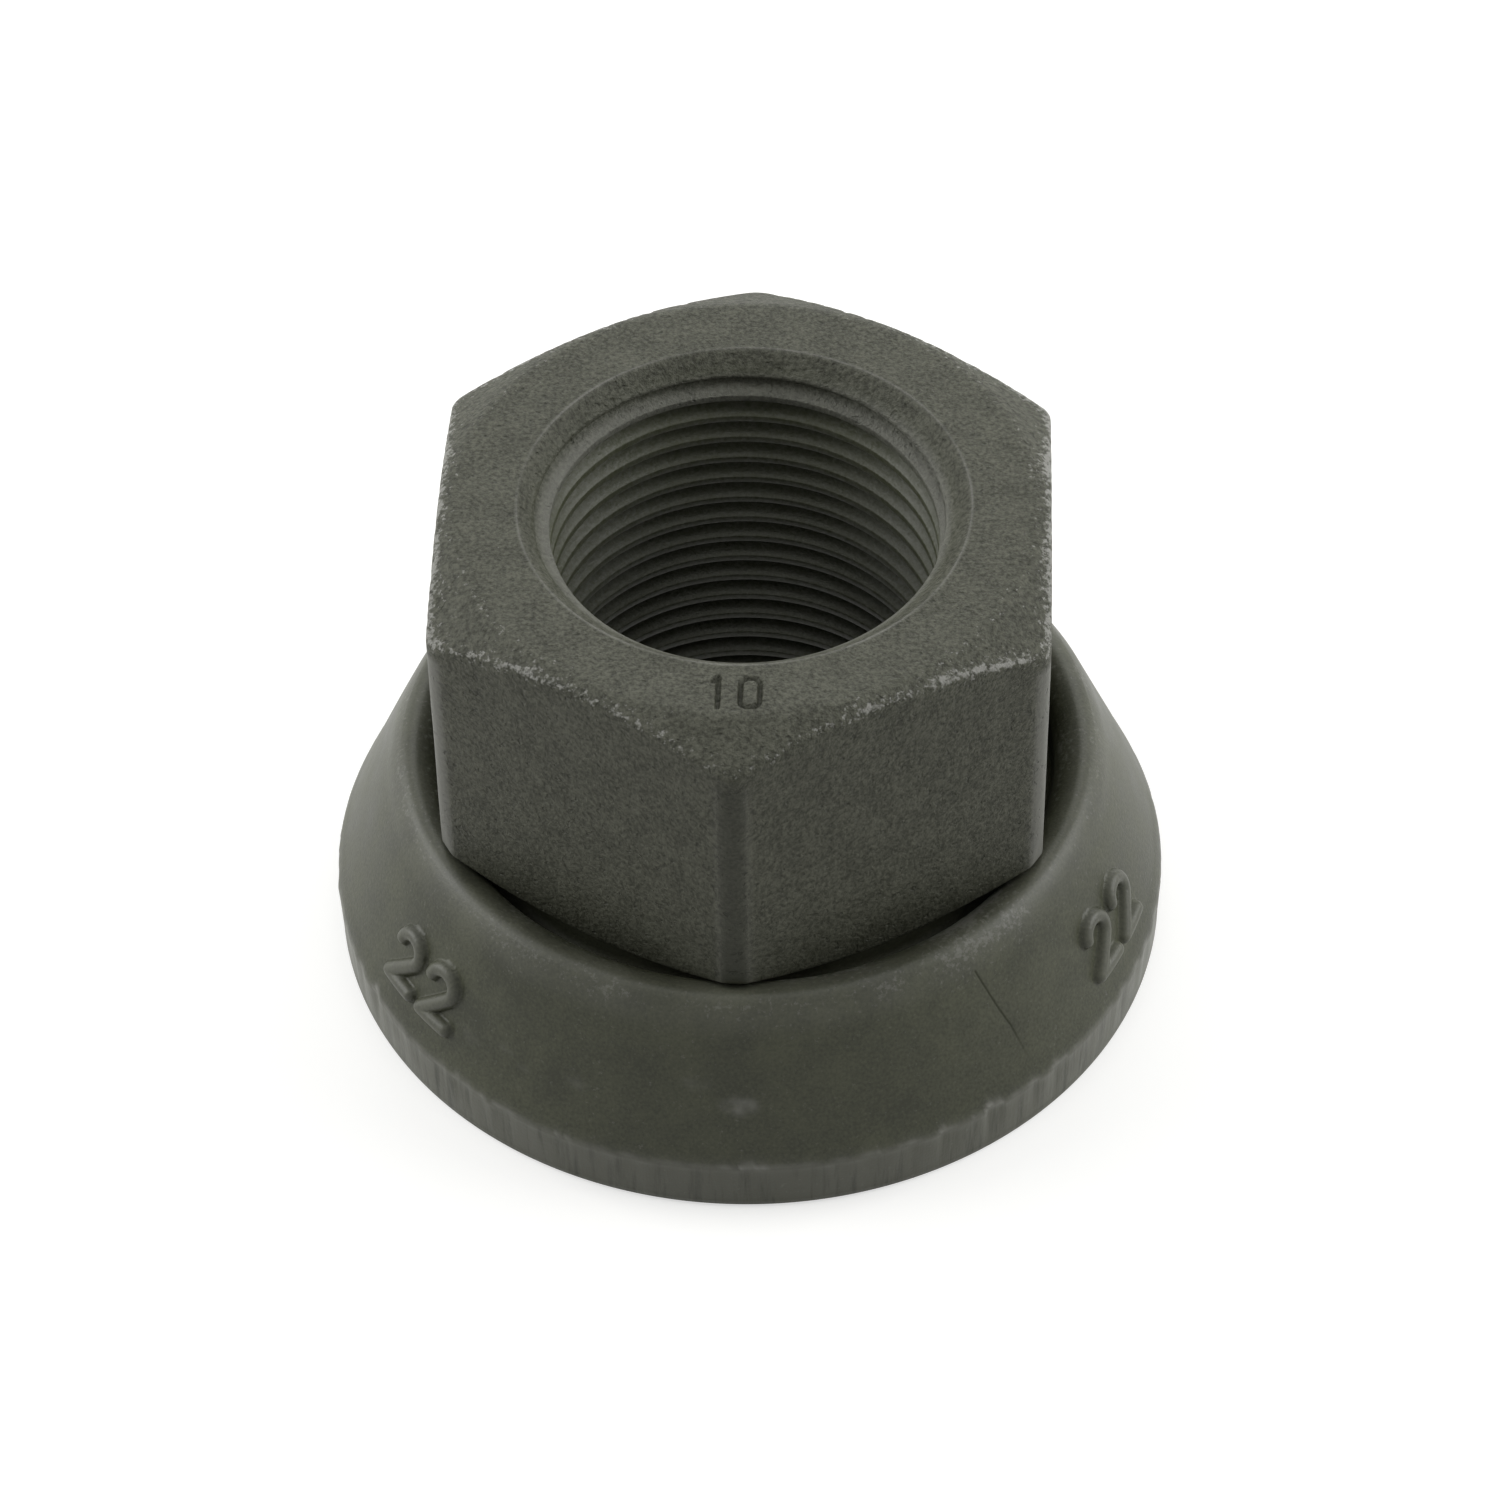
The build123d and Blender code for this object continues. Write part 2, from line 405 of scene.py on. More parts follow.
def press_hexagon(vert, size, reach, foot):
    """Moves a vertex of the round blank onto the hexagon. The chamfers stay cones, so their edges become the
    arcs that a turned hexagon shows, and a rounding is moved whole."""
    radius, turn = polar(vert.co)
    height = vert.co.z
    rise, margin = tan(size.chamfer_angle), size.edge_softness * 1.4
    start = size.chamfer_radius + margin
    if height < size.seat or radius <= start:
        return
    side = hexagon_radius(turn, size)
    upper = size.top - (reach - size.chamfer_radius) * rise
    lower = size.seat + (foot - size.chamfer_radius) * rise
    move_in, move_up = side - reach, min(side - foot, 0.0)
    if height > upper - margin and radius > reach - margin:
        radius, height = radius + move_in, height - move_in * rise
    elif height > upper - margin:
        radius = between(radius, start, reach - margin, start, side - margin)
        height = size.top - (radius - size.chamfer_radius) * rise
    elif height > lower + margin:
        height = between(height, lower + margin, upper - margin, lower + margin + move_up * rise,
                         upper - margin - move_in * rise)
        drawn = reach - max(size.seat + size.draft_height - height, 0.0) * tan(size.draft_angle)
        radius = min(side, drawn)
    elif radius > foot - margin:
        radius, height = min(radius + move_up, side), height + move_up * rise
    else:
        radius = between(radius, start, foot - margin, start, foot - margin + move_up)
        height = size.seat + (radius - size.chamfer_radius) * rise
    move_to(vert, radius, height)


def thread_section(size, low, high):
    """Corners of the thread's section on +X, from well under one height to over another."""
    crest, root = size.pitch / 4, size.pitch / 8
    flank = (size.pitch - crest - root) / 2
    to_side = size.pitch / 4                         # +X lies a quarter turn before +Y
    turns_down = ceil((size.groove_height - low) / size.pitch + 2)
    section, height = [], size.groove_height - to_side - turns_down * size.pitch
    while height < high + size.pitch:
        section += [
            (size.thread_radius, height - root / 2), (size.thread_radius, height + root / 2),
            (size.bore_radius, height + root / 2 + flank), (size.bore_radius, height + root / 2 + flank + crest),
        ]
        height += size.pitch
    return section


def cut_thread(bm, size):
    """Cuts the thread: the section of all its turns, screwed up by one pitch in a full turn so that each turn
    meets the next, then opened out by the entry cone and the exit cone and cut off level at both ends."""
    low = size.relief_top + 0.15 * MM
    verts = [bm.verts.new((radius, 0.0, height)) for radius, height in thread_section(size, low, size.top)]
    for pair in zip(verts, verts[1:]):
        bm.edges.new(pair)
    bmesh.ops.bevel(
        bm, geom=verts[1:-1], affect="VERTICES", offset=0.045 * MM, segments=2, profile=0.5, material=-1
    )
    flanks = [edge for edge in bm.edges if edge.calc_length() > size.pitch / 2]
    bmesh.ops.subdivide_edges(bm, edges=flanks, cuts=2)
    bmesh.ops.spin(
        bm, geom=bm.verts[:] + bm.edges[:], cent=(0, 0, 0), axis=(0, 0, 1),
        dvec=(0, 0, size.pitch / THREAD_STEPS), angle=2 * pi, steps=THREAD_STEPS,
    )
    bmesh.ops.remove_doubles(bm, verts=bm.verts[:], dist=0.002 * MM)
    for depth in (0.04, 0.1, 0.2):                   # rows for the softened edge at the top face, millimetres
        slice_level(bm, size.top - depth * MM)
    for vert in bm.verts:
        radius, height = polar(vert.co)[0], vert.co.z
        entry = size.entry_radius - (size.top - height)
        entry += 0.1 * MM * exp(min((height - size.top) / (0.08 * MM), 0.0))
        leaving = size.relief_radius - (height - size.relief_top)
        move_to(vert, max(radius, entry, min(leaving, size.relief_radius)), height)
    slice_level(bm, size.top, clear=True)
    slice_level(bm, low, up=-1, clear=True)


def add_thread(bm, size):
    """Puts the thread into the bore and joins it to the top face and to the relief bore."""
    thread = bmesh.new()
    cut_thread(thread, size)
    inside = bpy.data.meshes.new("thread")
    thread.to_mesh(inside)
    thread.free()
    bm.from_mesh(inside)
    bpy.data.meshes.remove(inside)
    open_edges = [edge for edge in bm.edges if edge.is_boundary]
    top_edges = [edge for edge in open_edges if edge.verts[0].co.z > size.seat]
    foot_edges = [edge for edge in open_edges if edge.verts[0].co.z < size.seat]
    bmesh.ops.triangle_fill(bm, edges=top_edges, use_beauty=True)
    bmesh.ops.bridge_loops(bm, edges=foot_edges)


def stamp_number(bm, size, stamp_and_foot_shade):
    """Presses the number into the top face in front of the bore, and paints shade in its strokes."""
    def on_face(point):
        in_front = abs(point.z - size.top) < 0.01 * MM and point.y < 0
        return Vector((point.x, point.y + size.stamp_radius)) if in_front else None

    lines = number_lines("10", size.stamp_height, size.stamp_spacing)
    for vert in refine(bm, on_face, 1.9 * MM, 1.75 * MM):
        press = 1 - smooth(0.35, 1.0, gap_to(lines, on_face(vert.co)) / (size.stamp_stroke / 2))
        vert.co.z -= press * size.stamp_depth
        # Painted shade in the pressed strokes
        vert[stamp_and_foot_shade] = press


def wear_bore(vert, size, rub_and_highlight, cut):
    """Marks the thread as cut metal, paints a highlight along the entry cone's edge, and rubs the crest of the first
    turn, with a painted highlight there that grows towards the left and right.
    """
    radius, turn = polar(vert.co)
    height = vert.co.z
    first_turn = smooth(size.top - 2.9 * MM, size.top - 2.2 * MM, height) * (radius < size.entry_radius)
    first_crest = first_turn * smooth(size.thread_radius, size.bore_radius + 0.3 * MM, radius)
    entry_edge = exp((height - size.top) / (0.03 * MM)) * (radius < size.entry_radius + 0.15 * MM)
    uneven = 0.3 + 0.35 * grain(vert.co, 5.0 * MM, 6.0)
    vert[cut] = smooth(size.thread_radius + 0.3 * MM, size.thread_radius, radius) * (1 - 0.8 * first_turn)
    # Painted highlight along the entry edge; on the first crest rubbing and a painted highlight that grows towards
    # the sides
    vert[rub_and_highlight] = max(entry_edge * uneven, first_crest * (0.2 + 0.12 * abs(cos(turn))))


def wear_hexagon(vert, size, stamp_and_foot_shade, wear, rub_and_highlight, land):
    """Knocks and chips the hexagon's edges, sets its rounded corners for a band of painted shade with painted
    highlights beside them and over the left and right corners, paints shade at the foot of its flats, and gives its
    faces the slight waves of a forging."""
    radius, turn = polar(vert.co)
    height = vert.co.z
    side, rise = hexagon_radius(turn, size), tan(size.chamfer_angle)
    cone = size.top - (radius - size.chamfer_radius) * rise
    sideways = abs(cos(turn))                        # 1 at the left and right, 0 at the front and back corners
    knocked = 0.4 + 0.6 * sideways                   # the corners at the left and right are knocked most
    off_edge = max(side - radius, 0.0) / (0.6 * MM) + max(cone - height, 0.0) / (0.25 * MM)
    edge = exp(-off_edge) * smooth(size.seat, size.top - 3 * MM, height)
    ring = exp(-abs(radius - size.chamfer_radius) / (0.4 * MM)) * (height > size.top - 0.3 * MM)
    spread = exp(-off_edge / 4) * smooth(0.0, 0.4, grain(vert.co, 2.5 * MM, 11.0)) * (height > size.top - 2 * MM)
    clouds = 0.5 + 0.9 * wave(vert.co, 1.8 * MM, 7.0)
    vert[wear] = max(0.9 * edge, 0.35 * ring, 0.35 * spread) * knocked * clouds

    rounding = (TO_CORNER - off_flat(turn)) / corner_span(size)       # 1 where a rounded corner meets a flat
    upright = smooth(size.top - 2.2 * MM, size.top - 2.7 * MM, height)
    vert[land] = smooth(1.15, 0.85, rounding) * upright
    # Painted highlights: thin light lines beside each rounded corner, and the whole rounding at the left and right
    # corners
    beside = 0.1 * exp(-(((rounding - 1.3) / 0.3) ** 2))
    vert[rub_and_highlight] = max(beside, 0.45 * vert[land] * smooth(0.4, 0.8, sideways)) * upright

    # Painted shade: the flats darken towards their foot over the collar
    off_foot = height - size.seat - (side - size.chamfer_radius) * rise
    vert[stamp_and_foot_shade] = max(vert[stamp_and_foot_shade], 1.2 * exp(-((max(off_foot, 0.0) / (3.5 * MM)) ** 2)))
    chips = max(grain(vert.co, 0.45 * MM, 3.0), 0.0) * 0.12 * MM * exp(-off_edge)
    vert.co -= vert.normal * (chips + wave(vert.co, 3.2 * MM) * 0.03 * MM)


def build_nut(size):
    """The hexagon nut: turned blank pressed to a hexagon, cut thread, stamped number, knocked edges, painted
    highlights and painted shade.
    """
    def spacing(middle):
        hidden = middle.z < size.seat + 0.1 * MM
        return 2.5 * MM if hidden else 0.5 * MM

    bm = bmesh.new()
    reach = corner_reach(size)
    foot = draft_foot(size, reach)
    turned(bm, nut_outline(size, reach, foot), spacing, NUT_STEPS)
    for vert in bm.verts:
        press_hexagon(vert, size, reach, foot)
    add_thread(bm, size)
    stamp_and_foot_shade, wear, rub_and_highlight, cut, land = add_layers(bm, ("stamp_and_foot_shade", "wear", "rub_and_highlight", "cut", "land"))
    stamp_number(bm, size, stamp_and_foot_shade)
    update_normals(bm)
    for vert in bm.verts:
        if polar(vert.co)[0] < size.entry_radius + 0.5 * MM:
            wear_bore(vert, size, rub_and_highlight, cut)
        elif vert.co.z >= size.seat:
            wear_hexagon(vert, size, stamp_and_foot_shade, wear, rub_and_highlight, land)
    return bm


# Pressure collar

def lip_corners(size):
    """Top of the lip and foot of its shoulder, each as radius and height."""
    nose = (size.lip_radius + size.lip_width, size.lip_height + size.lip_width * tan(size.lip_angle))
    return nose, (nose[0] + size.shoulder_width, nose[1] - size.shoulder_width * tan(size.shoulder_angle))


def collar_outline(size):
    """Section of the collar, round from the seat over the lip, down the cone, along the foot and up the hole."""
    nose, shoulder = lip_corners(size)
    foot = size.rim_radius - size.rim_lean
    return [
        (size.hole_radius + size.edge_break, size.seat, 0.0),
        (size.seat_radius, size.seat, size.seat_softness),
        (size.seat_radius, size.groove_floor, size.groove_bevel),
        (size.lip_radius, size.groove_floor, size.groove_bevel),
        (size.lip_radius, size.lip_height, size.lip_softness),
        (*nose, size.nose_softness),
        (*shoulder, size.shoulder_softness),
        (size.rim_radius, size.rim_height, 0.0),
        (foot, size.edge_break, 0.0),
        (foot - size.edge_break, 0.0, 0.0),
        (size.recess_radius + size.edge_break, 0.0, 0.0),
        (size.recess_radius, size.edge_break, 0.0),
        (size.recess_radius, size.recess_top, 0.0),
        (size.hole_radius, size.hole_foot, 0.0),
        (size.hole_radius, size.seat - size.edge_break, 0.0),
    ]


def cone_frame(size):
    """The cone between shoulder and rim: its lean, its way down the slope and the middle line of the numbers."""
    shoulder = lip_corners(size)[1]
    lean = atan2(size.rim_radius - shoulder[0], shoulder[1] - size.rim_height)
    down = Vector((sin(lean), -cos(lean)))
    middle = Vector((size.number_radius, size.rim_height + (size.rim_radius - size.number_radius) / tan(lean)))
    return lean, down, middle


def unrolled(point, centre, cone):
    """Place on the unrolled cone, along the rim from an angle about Z and up the slope, or None off the cone."""
    lean, down, middle = cone
    radius, turn = polar(point)
    section = Vector((radius, point.z)) - middle
    off = (turn - centre + pi) % (2 * pi) - pi
    if abs(section.x * cos(lean) + section.y * sin(lean)) > 0.05 * MM:
        return None
    return Vector((off * middle.x, -section.dot(down)))


def raise_number(bm, size, cone, centre, rub_and_highlight):
    """Raises the number from the cone, with round strokes that get a painted highlight on top."""
    lean = cone[0]
    lines = number_lines("22", size.number_height, size.number_spacing)
    for vert in refine(bm, lambda point: unrolled(point, centre, cone), 3.1 * MM, 2.1 * MM):
        ridge = gap_to(lines, unrolled(vert.co, centre, cone)) / (size.number_stroke / 2)
        lift = sqrt(max(1 - ridge**2, 0.0))
        out = Vector((vert.co.x, vert.co.y, 0.0)).normalized() * cos(lean) + Vector((0, 0, sin(lean)))
        vert.co += out * lift * size.number_relief
        # Painted highlight on the tops of the strokes
        vert[rub_and_highlight] = 0.15 * lift


def draw_scratch(bm, size, cone, dark):
    """Draws the fine scratch on the cone, which fades towards the rim."""
    line = [[Vector(point) * MM for point in SCRATCH]]

    def beside_and_up(point):
        place = unrolled(point, SCRATCH_TURN, cone)
        if place is None or max(abs(place.x), abs(place.y)) > 5 * MM:
            return None
        return Vector((gap_to(line, place), place.y))

    for vert in refine(bm, beside_and_up, 0.25 * MM, inf):
        beside, up = beside_and_up(vert.co)
        vert[dark] = 0.7 * smooth(0.1 * MM, 0.02 * MM, beside) * smooth(-3.2 * MM, 0.5 * MM, up)
        vert.co.z -= vert[dark] * size.scratch_depth


def darken_inside(vert, size, cut, dark):
    """Marks the hole and the recess as turned metal, and paints shade over the seat and in the groove."""
    in_hole = polar(vert.co)[0] < size.recess_radius + size.edge_break + 0.1 * MM
    in_hole = in_hole and vert.co.z < size.seat - 0.1 * MM
    vert[cut] = 0.6 * in_hole
    # Painted shade over the seat and the groove, kept off the turned metal
    vert[dark] = GROOVE_SHADE * (not in_hole)


def shear_rim(vert, size, lean, rub_and_highlight, cut):
    """Cuts the rim back to the sheared band. Its upright tears and small burrs make its upper edge ragged, and a
    painted highlight runs along that edge, brightest at the burrs.
    """
    radius, turn = polar(vert.co)
    height = vert.co.z
    above_foot = height / size.rim_height
    rim_place = Vector((cos(turn), sin(turn), 0.0)) * size.rim_radius
    torn = smooth(0.0, 0.4, grain(rim_place, 3.5 * MM, 5.0)) * max(grain(rim_place, 0.6 * MM, 9.0), 0.0)
    ragged = 0.35 + 0.6 * grain(rim_place, 1.0 * MM, 1.0) + 1.5 * torn
    waste = size.rim_waste * min(max(ragged, 0.0), 1.2) * above_foot
    skin = size.rim_radius + (size.rim_height - height) * tan(lean)
    shear = size.rim_radius - size.rim_lean * (1 - above_foot) - waste - 0.02 * MM
    edge = exp(-abs(skin - shear) / (0.07 * MM))
    vert[cut] = smooth(-0.05 * MM, 0.05 * MM, skin - shear)
    # Painted highlight along the upper edge of the sheared band, brightest at tears and burrs
    vert[rub_and_highlight] = edge * min(0.5 + 1.5 * torn, 0.9)
    if height > size.edge_break:
        streaks = 0.02 * MM * wave(rim_place, 0.35 * MM, 2.0) * vert[cut]
        move_to(vert, min(radius, skin, shear) - streaks + edge * torn * 0.12 * MM, height)


def wear_skin(vert, size, rub_and_highlight, wear, dark):
    """Scuffs the lip's shoulder, most at the front right, paints a soft highlight over it, paints shade on the way
    down into the groove, rubs the pale spots, and gives the skin the slight waves of a forging."""
    radius, turn = polar(vert.co)
    height = vert.co.z
    shoulder = lip_corners(size)[1][1]
    clouds = wave(vert.co, 2.6 * MM, 4.0)
    patch = 0.7 + 0.55 * exp(-((turn - radians(-50)) / radians(14)) ** 2)
    vert[wear] = 0.85 * patch * exp(-abs(height - shoulder - 0.25 * MM) / (0.9 * MM)) * clouds
    # Painted shade fading from the groove up over the lip's inner edge
    vert[dark] += GROOVE_SHADE * smooth(size.lip_radius + 0.7 * MM, size.lip_radius, radius)
    # Painted highlight: a soft light band over the lip's shoulder
    painted_highlight = smooth(size.lip_radius + 0.5 * MM, size.lip_radius + 1.2 * MM, radius)
    vert[rub_and_highlight] += painted_highlight * smooth(shoulder - 1.5 * MM, shoulder, height) * (0.06 + 0.1 * clouds)
    flecks = 0.6 + 0.8 * grain(vert.co, 0.5 * MM, 8.0)
    for across, up, long, strength in PALE_SPOTS:
        away = hypot(vert.co.x - across * MM, 2 * (height - up * MM)) / (long / 2 * MM)
        vert[rub_and_highlight] = max(vert[rub_and_highlight], strength * flecks * smooth(1.2, 0.5, away) * (vert.co.y < 0))
    vert.co -= vert.normal * wave(vert.co, 3.6 * MM, 2.0) * 0.04 * MM


def build_collar(size):
    """The pressure collar: turned form, raised numbers, scuffs, painted highlights and painted shade round the lip,
    and sheared rim.
    """
    def spacing(middle):
        if middle.x < size.seat_radius + 0.1 * MM or middle.z < size.edge_break:
            return 1.5 * MM
        return 0.13 * MM if abs(middle.z - size.rim_height) < 1.1 * MM else 0.27 * MM

    bm = bmesh.new()
    turned(bm, collar_outline(size), spacing, COLLAR_STEPS, close=True)
    rub_and_highlight, wear, cut, dark = add_layers(bm, ("rub_and_highlight", "wear", "cut", "dark"))
    cone = cone_frame(size)
    for centre in NUMBER_TURNS:
        raise_number(bm, size, cone, centre, rub_and_highlight)
    draw_scratch(bm, size, cone, dark)
    update_normals(bm)
    for vert in bm.verts:
        if polar(vert.co)[0] < size.lip_radius - 0.02 * MM:
            darken_inside(vert, size, cut, dark)
        elif 0.0 < vert.co.z < size.rim_height + 1.0 * MM:
            shear_rim(vert, size, cone[0], rub_and_highlight, cut)
        else:
            wear_skin(vert, size, rub_and_highlight, wear, dark)
    return bm


def finish_piece(bm, name, body, node, material):
    """Makes the piece's object, which stands for its node and rides on its body."""
    bmesh.ops.recalc_face_normals(bm, faces=bm.faces[:])
    mesh = bpy.data.meshes.new(name)
    bm.to_mesh(mesh)
    bm.free()
    mesh.shade_smooth()
    mesh.materials.append(material)
    piece = bpy.data.objects.new(name, mesh)
    bpy.context.scene.collection.objects.link(piece)
    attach(piece, body)
    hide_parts(node)


# Finishes

def add_node(tree, kind, inputs=None, **settings):
    """Adds a node with its settings. An input gets a value, or a link where it is given another node's output."""
    node = tree.nodes.new(kind)
    for name, value in settings.items():
        setattr(node, name, value)
    for name, value in (inputs or {}).items():
        if isinstance(value, bpy.types.NodeSocket):
            tree.links.new(value, node.inputs[name])
        else:
            node.inputs[name].default_value = value
    return node


def new_material(name):
    """A node material that is still empty, and its tree."""
    material = bpy.data.materials.new(name)
    material.use_nodes = True
    material.node_tree.nodes.clear()
    return material, material.node_tree


def pale_from_wear_and_highlight(tree, place, start, full, strength):
    """How far the colour turns pale where the skin wears off: all over where the wear is high, in scattered specks
    where it is low, and evenly where it was rubbed and where a highlight is painted."""
    wear, rub_and_highlight = (
        add_node(tree, "ShaderNodeAttribute", attribute_name=name).outputs["Fac"] for name in ("wear", "rub_and_highlight"))
    specks = add_node(tree, "ShaderNodeTexNoise", {
        "Vector": place, "Scale": 1 / (0.3 * MM), "Detail": 4.0, "Roughness": 0.7}).outputs["Fac"]
    reached = add_node(tree, "ShaderNodeMath", {
        0: wear, 1: 0.45, 2: specks}, operation="MULTIPLY_ADD").outputs["Value"]
    knocked = add_node(tree, "ShaderNodeMapRange", {
        "Value": reached, "From Min": start, "From Max": full, "To Max": strength}).outputs["Result"]
    return add_node(tree, "ShaderNodeMath", {0: knocked, 1: rub_and_highlight}, operation="MAXIMUM").outputs["Value"]


def blasted_steel(finish):
    """Shot-blasted and phosphated steel: a matt, gritty dark grey with small pits, pale specks where edges are
    knocked, painted highlights, painted shade in darker bands along the rounded corners, in the stamped number and at
    the foot of the flats, and finer metal where the thread was cut."""
    material, tree = new_material("blasted_phosphated_steel")
    place = add_node(tree, "ShaderNodeTexCoord").outputs["Object"]
    cut, stamp_and_foot_shade, land = (
        add_node(tree, "ShaderNodeAttribute", attribute_name=name).outputs["Fac"] for name in ("cut", "stamp_and_foot_shade", "land"))
    grit = add_node(tree, "ShaderNodeTexNoise", {
        "Vector": place, "Scale": 1 / finish.grit, "Detail": 3.0, "Roughness": 0.7}).outputs["Fac"]
    clouds = add_node(tree, "ShaderNodeTexNoise", {
        "Vector": place, "Scale": 1 / (1.6 * MM), "Detail": 4.0, "Roughness": 0.6}).outputs["Fac"]
    pocks = add_node(tree, "ShaderNodeTexNoise", {
        "Vector": place, "Scale": 1 / (0.42 * MM), "Detail": 1.0, "Roughness": 0.5}).outputs["Fac"]

    # Only the highest pocks become pits, and none in the cut thread
    uncut = add_node(tree, "ShaderNodeMath", {0: 1.0, 1: cut}, operation="SUBTRACT").outputs["Value"]
    pit = add_node(tree, "ShaderNodeMapRange", {
        "Value": pocks, "From Min": 0.66, "From Max": 0.76, "To Max": uncut}).outputs["Result"]

    # Base colour by grit and clouds, darker in the pits and with painted shade in the corner bands, the stamped
    # number and the foot of the flats, paler where the skin wears off and where highlights are painted
    both = add_node(tree, "ShaderNodeMath", {
        0: clouds, 1: 0.3, 2: grit}, operation="MULTIPLY_ADD").outputs["Value"]
    tone = add_node(tree, "ShaderNodeMapRange", {
        "Value": both, "From Min": 0.5, "From Max": 0.8}).outputs["Result"]
    skin = add_node(tree, "ShaderNodeMix", {
        FACTOR: tone, FIRST: finish.blasted_dark, SECOND: finish.blasted_light}, data_type="RGBA").outputs[MIXED]
    metal = add_node(tree, "ShaderNodeMix", {
        FACTOR: tone, FIRST: finish.cut_dark, SECOND: finish.cut_light}, data_type="RGBA").outputs[MIXED]
    base = add_node(tree, "ShaderNodeMix", {
        FACTOR: cut, FIRST: skin, SECOND: metal}, data_type="RGBA").outputs[MIXED]
    # Painted shade: a darker band on every rounded corner, added to the shade of the stamped number and the foot of
    # the flats
    band = add_node(tree, "ShaderNodeMath", {0: land, 1: 0.5}, operation="MULTIPLY").outputs["Value"]
    stamped = add_node(tree, "ShaderNodeMath", {
        0: stamp_and_foot_shade, 1: 0.35, 2: band}, operation="MULTIPLY_ADD").outputs["Value"]
    pits_and_painted_shade = add_node(tree, "ShaderNodeMath", {
        0: pit, 1: 0.4, 2: stamped}, operation="MULTIPLY_ADD").outputs["Value"]
    shaded = add_node(tree, "ShaderNodeMix", {
        FACTOR: pits_and_painted_shade, FIRST: base, SECOND: finish.shade_and_dark_marks}, data_type="RGBA").outputs[MIXED]
    # Paler where the skin wears off and where highlights are painted
    wear_and_highlights = pale_from_wear_and_highlight(tree, place, start=0.69, full=0.80, strength=1.0)
    final = add_node(tree, "ShaderNodeMix", {
        FACTOR: wear_and_highlights, FIRST: shaded, SECOND: finish.scuff_and_highlight}, data_type="RGBA").outputs[MIXED]

    # Bumps of the grit, finer where the metal was cut or rubbed flat, and the pits
    rough = add_node(tree, "ShaderNodeMapRange", {
        "Value": cut, "To Min": 0.58, "To Max": 0.4}).outputs["Result"]
    fine = add_node(tree, "ShaderNodeMath", {0: cut, 1: land}, operation="MAXIMUM").outputs["Value"]
    coarse = add_node(tree, "ShaderNodeMapRange", {
        "Value": fine, "To Min": 1.0, "To Max": 0.25}).outputs["Result"]
    grit_height = add_node(tree, "ShaderNodeMath", {0: grit, 1: coarse}, operation="MULTIPLY").outputs["Value"]
    height = add_node(tree, "ShaderNodeMath", {
        0: pit, 1: -0.5, 2: grit_height}, operation="MULTIPLY_ADD").outputs["Value"]
    bump = add_node(tree, "ShaderNodeBump", {
        "Height": height, "Strength": 1.0, "Distance": 0.14 * MM}).outputs["Normal"]
    shader = add_node(tree, "ShaderNodeBsdfPrincipled", {
        "Base Color": final, "Roughness": rough, "Metallic": 0.0, "Specular IOR Level": 0.3, "Normal": bump})
    add_node(tree, "ShaderNodeOutputMaterial", {"Surface": shader.outputs["BSDF"]})
    return material


